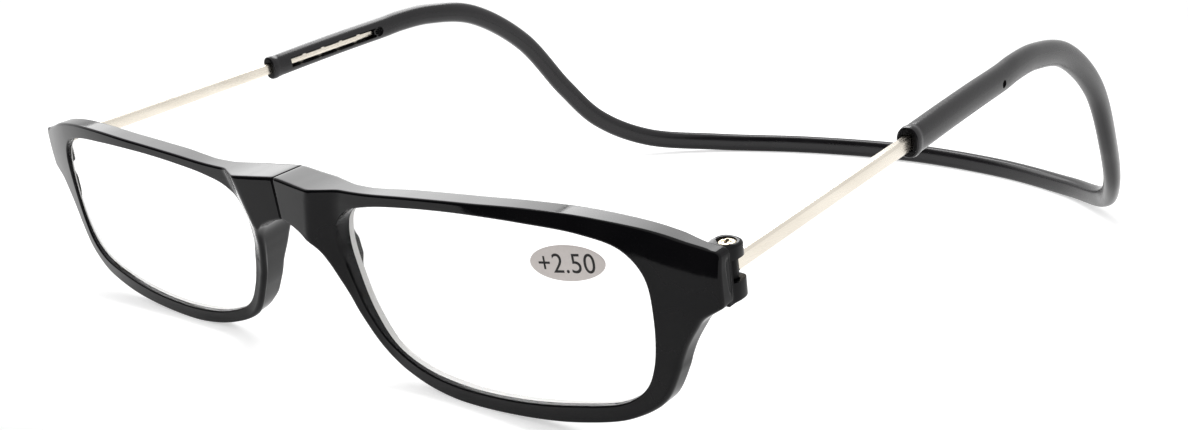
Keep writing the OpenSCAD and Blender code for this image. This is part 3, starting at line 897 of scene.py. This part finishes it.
def film(name, around=96):
    """Oval film with a rounded rim."""
    a = np.linspace(0, 2 * math.pi, around, endpoint=False)
    layers = []
    for share, off in FILM_ROWS:
        x, z = STICKER_HALF_W * share * np.cos(a), STICKER_HALF_H * share * np.sin(a)
        layers.append(on_sticker(x, z, off))
    points = np.vstack([*layers, on_sticker(np.zeros(1), np.zeros(1), FILM_T)])
    n = len(layers)
    faces = tube_faces(n, around)
    faces += [(n * around, (k + 1) % around, k) for k in range(around)]
    faces.append(tuple((n - 1) * around + k for k in range(around)))
    obj = new_mesh(name, points, faces)
    outward_faces(obj)
    return obj


def digits(name, words):
    """Printed digits, centred on the film."""
    curve = bpy.data.curves.new("digits", "FONT")
    curve.body = words
    curve.size = 3.4
    curve.align_x = "CENTER"
    curve.align_y = "CENTER"
    curve.resolution_u = 6
    curve.space_character = 1.03
    text = add_object("digits", curve)
    depsgraph = bpy.context.evaluated_depsgraph_get()
    flat = bpy.data.meshes.new_from_object(text.evaluated_get(depsgraph))
    bpy.data.objects.remove(text)
    p = np.array([vertex.co[:2] for vertex in flat.vertices])
    p -= (p.min(0) + p.max(0)) / 2
    faces = [tuple(f.vertices) for f in flat.polygons]
    return new_mesh(name, on_sticker(p[:, 0], p[:, 1], FILM_T + INK_T), faces)


dress(film("sticker_film"), FILM, "half_left", "sticker", "power_sticker")
dress(digits("sticker_digits", "+2.50"), INK, "half_left", "sticker", "power_sticker")

# Hinge screws and barrels

# Screw: radius and height, from its foot to the top of its head
SCREW_PROFILE = [
    (0.5, 9.5), (0.5, 14.24), (1.02, 14.28), (1.13, 14.35), (1.15, 14.43), (1.13, 14.54), (1.05, 14.62),
    (0.8, 14.67), (0.4, 14.69),
]
SCREW_TURN = 0.35
CROSS_HALF_L, CROSS_HALF_W = 0.78, 0.2
# Cutter of the cross: height and share of its length
CROSS_ENDS = [(14.36, 0.72), (15.1, 1.0)]


def cross_bar(turn, mirror):
    """Cutter for one slot of the screw's cross, shorter at the bottom."""
    c, s = math.cos(turn), math.sin(turn)
    points = []
    for a in (-CROSS_HALF_L, CROSS_HALF_L):
        for b in (-CROSS_HALF_W, CROSS_HALF_W):
            for z, k in CROSS_ENDS:
                points.append((HINGE_X + a * k * c - b * s, HINGE_Y + a * k * s + b * c, z))
    return new_mesh("cut", points, BOX_FACES, mirror)


def screw(name, mirror):
    """Hinge screw with a recessed cross."""
    obj = post_mm(name, SCREW_PROFILE, HINGE_AXIS, mirror=mirror)
    outward_faces(obj)
    carve(obj, [cross_bar(turn, mirror) for turn in (SCREW_TURN, SCREW_TURN + math.pi / 2)])
    soften(obj, 0.035, 2, 40)
    return obj


def barrel(name, mirror):
    """Hinge barrel with the short neck that holds the rod, cut flat where the rod starts."""
    end = ROD_Y - 0.02
    obj = post_mm(name, rounded_profile(BARREL_R, BARREL_LOW, BARREL_HIGH, 0.14), HINGE_AXIS, mirror=mirror)
    outward_faces(obj)
    low, high = BARREL_LOW + 0.03, BARREL_HIGH - 0.03
    neck = box_mm("neck", (HINGE_X - 0.7, HINGE_Y, low), (HINGE_X + 0.7, end, high), mirror)
    outward_faces(neck)
    soften(neck, 0.12, 3, 30)
    carve(obj, [neck], "UNION")
    low, high = BARREL_LOW - 1, BARREL_HIGH + 1
    carve(obj, [box_mm("cut", (HINGE_X - 2, end, low), (HINGE_X + 2, ROD_Y + 2, high), mirror)])
    shade(obj.data, 35)
    return obj


for side in ("left", "right"):
    flip = side == "right"
    piece = screw("hinge_screw_head_" + side, flip)
    dress(piece, SCREW, "half_" + side, "screw", "hinge_screw_" + side)
    piece = barrel("hinge_knuckle_" + side, flip)
    dress(piece, BARREL, "slider_" + side, "barrel", "hinge_barrel_" + side)

# Rods with notched tails

# Rod: depth and share of its section
ROD_ROWS = [
    (ROD_Y, 0.93), (ROD_Y + 0.05, 0.98), (ROD_Y + 0.14, 1.0), (ROD_Y + 8, 1.0), (ROD_Y + 20, 1.0),
    (ROD_Y + 32, 1.0), (TAIL_Y - 0.15, 1.0), (TAIL_Y, 0.94),
]
TAIL_HALF_W, TAIL_HALF_H = 0.55, 0.5
TAIL_CORNER = 0.2
CLICKS = 4
CLICK_STEP = 4.65
FIRST_BUMP = 4.0
LOWER_SHIFT = -1.0
# One bump on the tail: along and height over the edge
BUMP = [(-0.48, 0), (-0.3, 0.32), (-0.18, 0.35), (0.18, 0.35), (0.3, 0.32), (0.48, 0)]


def rod_section(w, h, y, around):
    """Ring of a rounded rectangle at a depth."""
    ring = []
    for k in range(around):
        a = 2 * math.pi * (k + 0.5) / around
        x = math.copysign(w / 2 - ROD_CORNER, math.cos(a)) + ROD_CORNER * math.cos(a)
        z = math.copysign(h / 2 - ROD_CORNER, math.sin(a)) + ROD_CORNER * math.sin(a)
        ring.append((HINGE_X + x, y, ROD_Z + z))
    return ring


def rod(name, mirror, around=40):
    """Bright flat rod from the barrel into the sleeve."""
    points = []
    for y, k in ROD_ROWS:
        points += rod_section(ROD_W * k, ROD_H * k, y, around)
    obj = new_mesh(name, points, tube_faces(len(ROD_ROWS), around, caps=True), mirror, sharp=40)
    outward_faces(obj)
    return obj


def tail(name, mirror):
    """Notched strip with bumps on its upper and lower edges."""
    half, corner = TAIL_HALF_H, TAIL_CORNER
    upper, lower = [], []
    for i in range(CLICKS):
        at = TAIL_Y + FIRST_BUMP + i * CLICK_STEP
        upper += [(at + along, half + height) for along, height in BUMP]
        lower += [(at + LOWER_SHIFT + along, -half - height) for along, height in BUMP]
    start = TAIL_Y - 0.4
    end = [(TAIL_END - corner, half), (TAIL_END, half - corner)]
    end += [(TAIL_END, corner - half), (TAIL_END - corner, -half)]
    outline = [(start, half), *upper, *end, *lower[::-1], (start, -half)]
    n = len(outline)
    points = [(HINGE_X + x, y, ROD_Z + z) for x in (-TAIL_HALF_W, TAIL_HALF_W) for y, z in outline]
    faces = [tuple(range(n)), tuple(reversed(range(n, 2 * n)))]
    faces += [(k, n + k, n + (k + 1) % n, (k + 1) % n) for k in range(n)]
    obj = new_mesh(name, points, faces, mirror)
    outward_faces(obj)
    soften(obj, 0.06, 2, 30)
    return obj


for side in ("left", "right"):
    flip = side == "right"
    piece = rod("rod_" + side, flip)
    dress(piece, ROD, "slider_" + side, "rod", "temple_rod_" + side)
    piece = tail("rod_tail_" + side, flip)
    dress(piece, ROD, "slider_" + side, "rod", "temple_rod_" + side)

# Neckband

EAR_Y, EAR_Z = 84.0, 12.1
NAPE_Y, NAPE_Z = 176.7, -41.4
SLEEVE_RISE = 0.25
# Middle line of the sleeve, from its mouth: shares of its length and of its rise
SLEEVE_LINE = [(0, 0), (0.34, 0.75), (0.68, 1.1), (1, 1)]
# Middle line from the ear to the nape and one point past it: shares of the way in, back and down
DROP_LINE = [
    (0.0015, 0, 0), (0.0045, 0.086, 0.011), (0.0075, 0.222, 0.0745), (0.0135, 0.3745, 0.2625),
    (0.0325, 0.4885, 0.5305), (0.0655, 0.574, 0.715), (0.147, 0.6905, 0.8605), (0.3285, 0.834, 0.944),
    (0.6285, 0.9525, 0.987), (1, 1, 1), (1.3715, 0.9525, 0.987),
]
LINE_STEPS = [10] * 3 + [6] + [18] * 9 + [1]
# Rings behind the mouth, close enough for its lip and bead
MOUTH_RINGS = (0, 0.02, 0.07, 0.16, 0.4, 0.8, 1.2, 1.5, 1.75)


def band_line():
    """Middle line of the band, from the left mouth round the nape to the right mouth."""
    length = SLEEVE_END - MOUTH_Y
    points = [(HINGE_X, MOUTH_Y + a * length, ROD_Z + SLEEVE_RISE * b) for a, b in SLEEVE_LINE]
    for a, b, c in DROP_LINE:
        points.append((HINGE_X * (1 - a), EAR_Y + b * (NAPE_Y - EAR_Y), EAR_Z + c * (NAPE_Z - EAR_Z)))
    line = spline(points, LINE_STEPS)[:-1]
    mouth = [(HINGE_X, MOUTH_Y + behind, ROD_Z) for behind in MOUTH_RINGS]
    line = np.vstack([mouth, line[2:]])
    return np.vstack([line, line[-2::-1] * [-1, 1, 1]])


def band_size(y):
    """Half width and half height of the band at a depth, with the lip and the bead at the mouth."""
    behind = y - MOUTH_Y
    slimmer = 0.1 * np.clip((y - SLEEVE_END) / (SLIM_END - SLEEVE_END), 0, 1)
    bead = 0.13 * np.exp(-((behind - 0.75) / 0.55) ** 2)
    lip = 0.28 * (1 - math.sqrt(min(behind / 0.16, 1)))
    return (BAND_W - slimmer) / 2 + bead - lip, BAND_H / 2 + bead - lip


def sleeve_cutters(mirror):
    """Channel for the rod, window on the inner side, cross hole and its inner pocket."""
    x, z = HINGE_X, ROD_Z
    w, h = CHANNEL_HALF_W, CHANNEL_HALF_H
    hole = (0, CROSS_Y, z)
    return [
        box_mm("cut", (x - w, MOUTH_Y - 2, z - h), (x + w, CHANNEL_END, z + h), mirror),
        box_mm("cut", (x - 3.3, TAIL_Y, z - WINDOW_HALF_H), (x, CHANNEL_END, z + WINDOW_HALF_H), mirror),
        post_mm("cut", [(CROSS_HOLE_R, x - 4), (CROSS_HOLE_R, x + 4)], hole, "x", 32, mirror),
        post_mm("cut", [(POCKET_R, x - 4), (POCKET_R, POCKET_X)], hole, "x", 40, mirror),
    ]


def neckband(name, around=64, power=0.88):
    """The band swept along its middle line, then cut for the rods."""
    line = band_line()
    n = len(line)
    points = []
    for i, p in enumerate(line):
        along = line[min(i + 1, n - 1)] - line[max(i - 1, 0)]
        along /= np.linalg.norm(along)
        flat = np.array([along[1], -along[0], 0])
        flat /= np.linalg.norm(flat)
        tall = np.cross(flat, along)
        w, h = band_size(p[1])
        for k in range(around):
            a = 2 * math.pi * (k + 0.5) / around
            points.append(p + w * squared(math.cos(a), power) * flat + h * squared(math.sin(a), power) * tall)
    obj = new_mesh(name, points, tube_faces(n, around, caps=True))
    outward_faces(obj)
    carve(obj, sleeve_cutters(False) + sleeve_cutters(True))
    shade(obj.data, 38)
    return obj


def paint_mouth_shade(obj):
    """Second material, black, on the faces round the two mouths that look ahead: painted shade for the
    sleeves' end faces, which stand in shadow.
    """
    obj.data.materials.append(BARREL)
    ahead = Vector((0, -math.cos(LEAN), -math.sin(LEAN)))
    mouth = Vector(stand((0, MOUTH_Y + 0.03, 0)))
    for face in obj.data.polygons:
        if (face.center - mouth).dot(ahead) > 0 and face.normal.dot(ahead) > 0:
            face.material_index = 1


band = dress(neckband("neckband_sweep"), BAND, "neckband", "neckband", "neckband")
# Painted shade: the mouths' end faces get the barrel's black in place of the shadow they stand in
paint_mouth_shade(band)

# CAD pieces that stay

for side in ("left", "right"):
    for name, material in (("magnet_" + side, NICKEL), ("magnet_cap_" + side, BARREL)):
        node = frame["nodes"][name]
        node.data.materials.clear()
        node.data.materials.append(material)

# Camera

CAMERA_AT = (149.4, -102.7, 73.0)
AZIMUTH = math.radians(40.59)
ELEVATION = math.radians(21.31)
ROLL = math.radians(-7.38)
PHOTO_W, PHOTO_H = 1188, 430
FOCAL_PX = 1370
CENTRE_PX = (632.2, 213.3)
SENSOR = 36


def placed(place, x, y, z):
    """Matrix of an object at a place, with its own axes along x, y and z."""
    return Matrix.Translation(place) @ Matrix((x, y, z)).transposed().to_4x4()


def camera():
    """Camera of the photograph, solved from the mirror symmetry of the glasses."""
    data = bpy.data.cameras.new("camera")
    obj = add_object("camera", data)
    bpy.context.scene.camera = obj
    level = math.cos(ELEVATION)
    back = np.array([math.sin(AZIMUTH) * level, -math.cos(AZIMUTH) * level, math.sin(ELEVATION)])
    flat_right = np.array([math.cos(AZIMUTH), math.sin(AZIMUTH), 0])
    flat_up = np.cross(back, flat_right)
    right = math.cos(ROLL) * flat_right + math.sin(ROLL) * flat_up
    up = -math.sin(ROLL) * flat_right + math.cos(ROLL) * flat_up
    lean = Matrix.Rotation(LEAN, 3, "X")
    place = lean @ Vector(CAMERA_AT) + Vector((0, -ORIGIN_Y, STAND_Z))
    obj.matrix_world = placed(place / 1000, *[lean @ Vector(axis) for axis in (right, up, back)])
    data.sensor_fit = "HORIZONTAL"
    data.sensor_width = SENSOR
    data.lens = SENSOR * FOCAL_PX / PHOTO_W
    data.shift_x = (PHOTO_W / 2 - CENTRE_PX[0]) / PHOTO_W
    data.shift_y = (CENTRE_PX[1] - PHOTO_H / 2) / PHOTO_W
    data.clip_start, data.clip_end = 0.005, 20


# Floor, world and lamps, in metres

FLOOR_REACH = 1.8
# Front edge of the floor, a little further forward on the side of the right half
FLOOR_FRONT = [(-FLOOR_REACH, -0.134), (-0.021, -0.134), (-0.006, -0.125), (FLOOR_REACH, -0.125)]
FLOOR_GLOW = 0.5
PLAIN_LIGHT = 0.65
DARK_ROOM = 0.02


def floor():
    """Pale floor that also glows a little for the camera and in reflections."""
    mesh = bpy.data.meshes.new("floor")
    corners = [*FLOOR_FRONT, (FLOOR_REACH, FLOOR_REACH), (-FLOOR_REACH, FLOOR_REACH)]
    mesh.from_pydata([(x, y, 0) for x, y in corners], [], [tuple(range(len(corners)))])
    obj = add_object("floor", mesh)
    m = Surface("pale_floor")
    color = m.tones(m.noise(900), (0.79, 0.79, 0.79), (0.81, 0.81, 0.81))
    m.put(color=color, rough=0.9, spec=0.2)
    path = m.add("LightPath")
    seen = m.math("MAXIMUM", path.outputs["Is Camera Ray"], path.outputs["Is Transmission Ray"])
    seen = m.math("MAXIMUM", seen, path.outputs["Is Glossy Ray"])
    glow = m.add("Emission")
    m.link(m.math("MULTIPLY", seen, FLOOR_GLOW), glow.inputs["Strength"])
    both = m.add("AddShader")
    m.link(m.shader.outputs[0], both.inputs[0])
    m.link(glow.outputs[0], both.inputs[1])
    m.link(both.outputs[0], m.out.inputs["Surface"])
    mesh.materials.append(m.material)


def world():
    """Plain light all round; reflections show a white backdrop behind and a dark room in front."""
    studio = bpy.data.worlds.new("studio")
    bpy.context.scene.world = studio
    studio.use_nodes = True
    studio.node_tree.nodes.clear()
    m = Nodes(studio.node_tree)
    coords = m.add("TexCoord")
    split = m.add("SeparateXYZ")
    m.link(coords.outputs["Generated"], split.inputs[0])
    path = m.add("LightPath")
    glossy = path.outputs["Is Glossy Ray"]
    shine = m.remap(split.outputs[1], DARK_ROOM, 1.0, -0.5, -0.15, interpolation_type="SMOOTHSTEP")
    seen = m.math("MAXIMUM", path.outputs["Is Camera Ray"], path.outputs["Is Transmission Ray"])
    plain = m.math("MULTIPLY", m.math("SUBTRACT", 1.0, m.math("MAXIMUM", seen, glossy)), PLAIN_LIGHT)
    strength = m.math("ADD", m.math("ADD", plain, m.math("MULTIPLY", glossy, shine)), seen)
    background = m.add("Background")
    background.inputs[0].default_value = (1, 1, 1, 1)
    m.link(strength, background.inputs[1])
    out = m.add("OutputWorld")
    m.link(background.outputs[0], out.inputs[0])


def lamp(name, place, target, along, size, radiance):
    """Soft box of a given radiance that the camera doesn't see; along is the way its first side runs."""
    data = bpy.data.lights.new(name, "AREA")
    data.shape = "RECTANGLE"
    data.size, data.size_y = size
    data.energy = radiance * math.pi * size[0] * size[1]
    obj = add_object(name, data)
    z = (Vector(place) - Vector(target)).normalized()
    x = Vector(along)
    x = (x - x.dot(z) * z).normalized()
    obj.matrix_world = placed(place, x, z.cross(x), z)
    obj.visible_camera = False


camera()
floor()
world()
lamp(
    "key", place=(-0.12, 0.152, 0.297), target=(0.055, -0.085, 0.028), along=(-0.87, -0.05, -0.5),
    size=(0.21, 0.15), radiance=6.2,
)
lamp(
    "side", place=(-0.295, 0.115, 0.192), target=(0.0, -0.088, 0.03), along=(-0.92, -0.39, 0.45),
    size=(0.25, 0.152), radiance=2.6,
)
bpy.context.scene.view_settings.view_transform = "Standard"
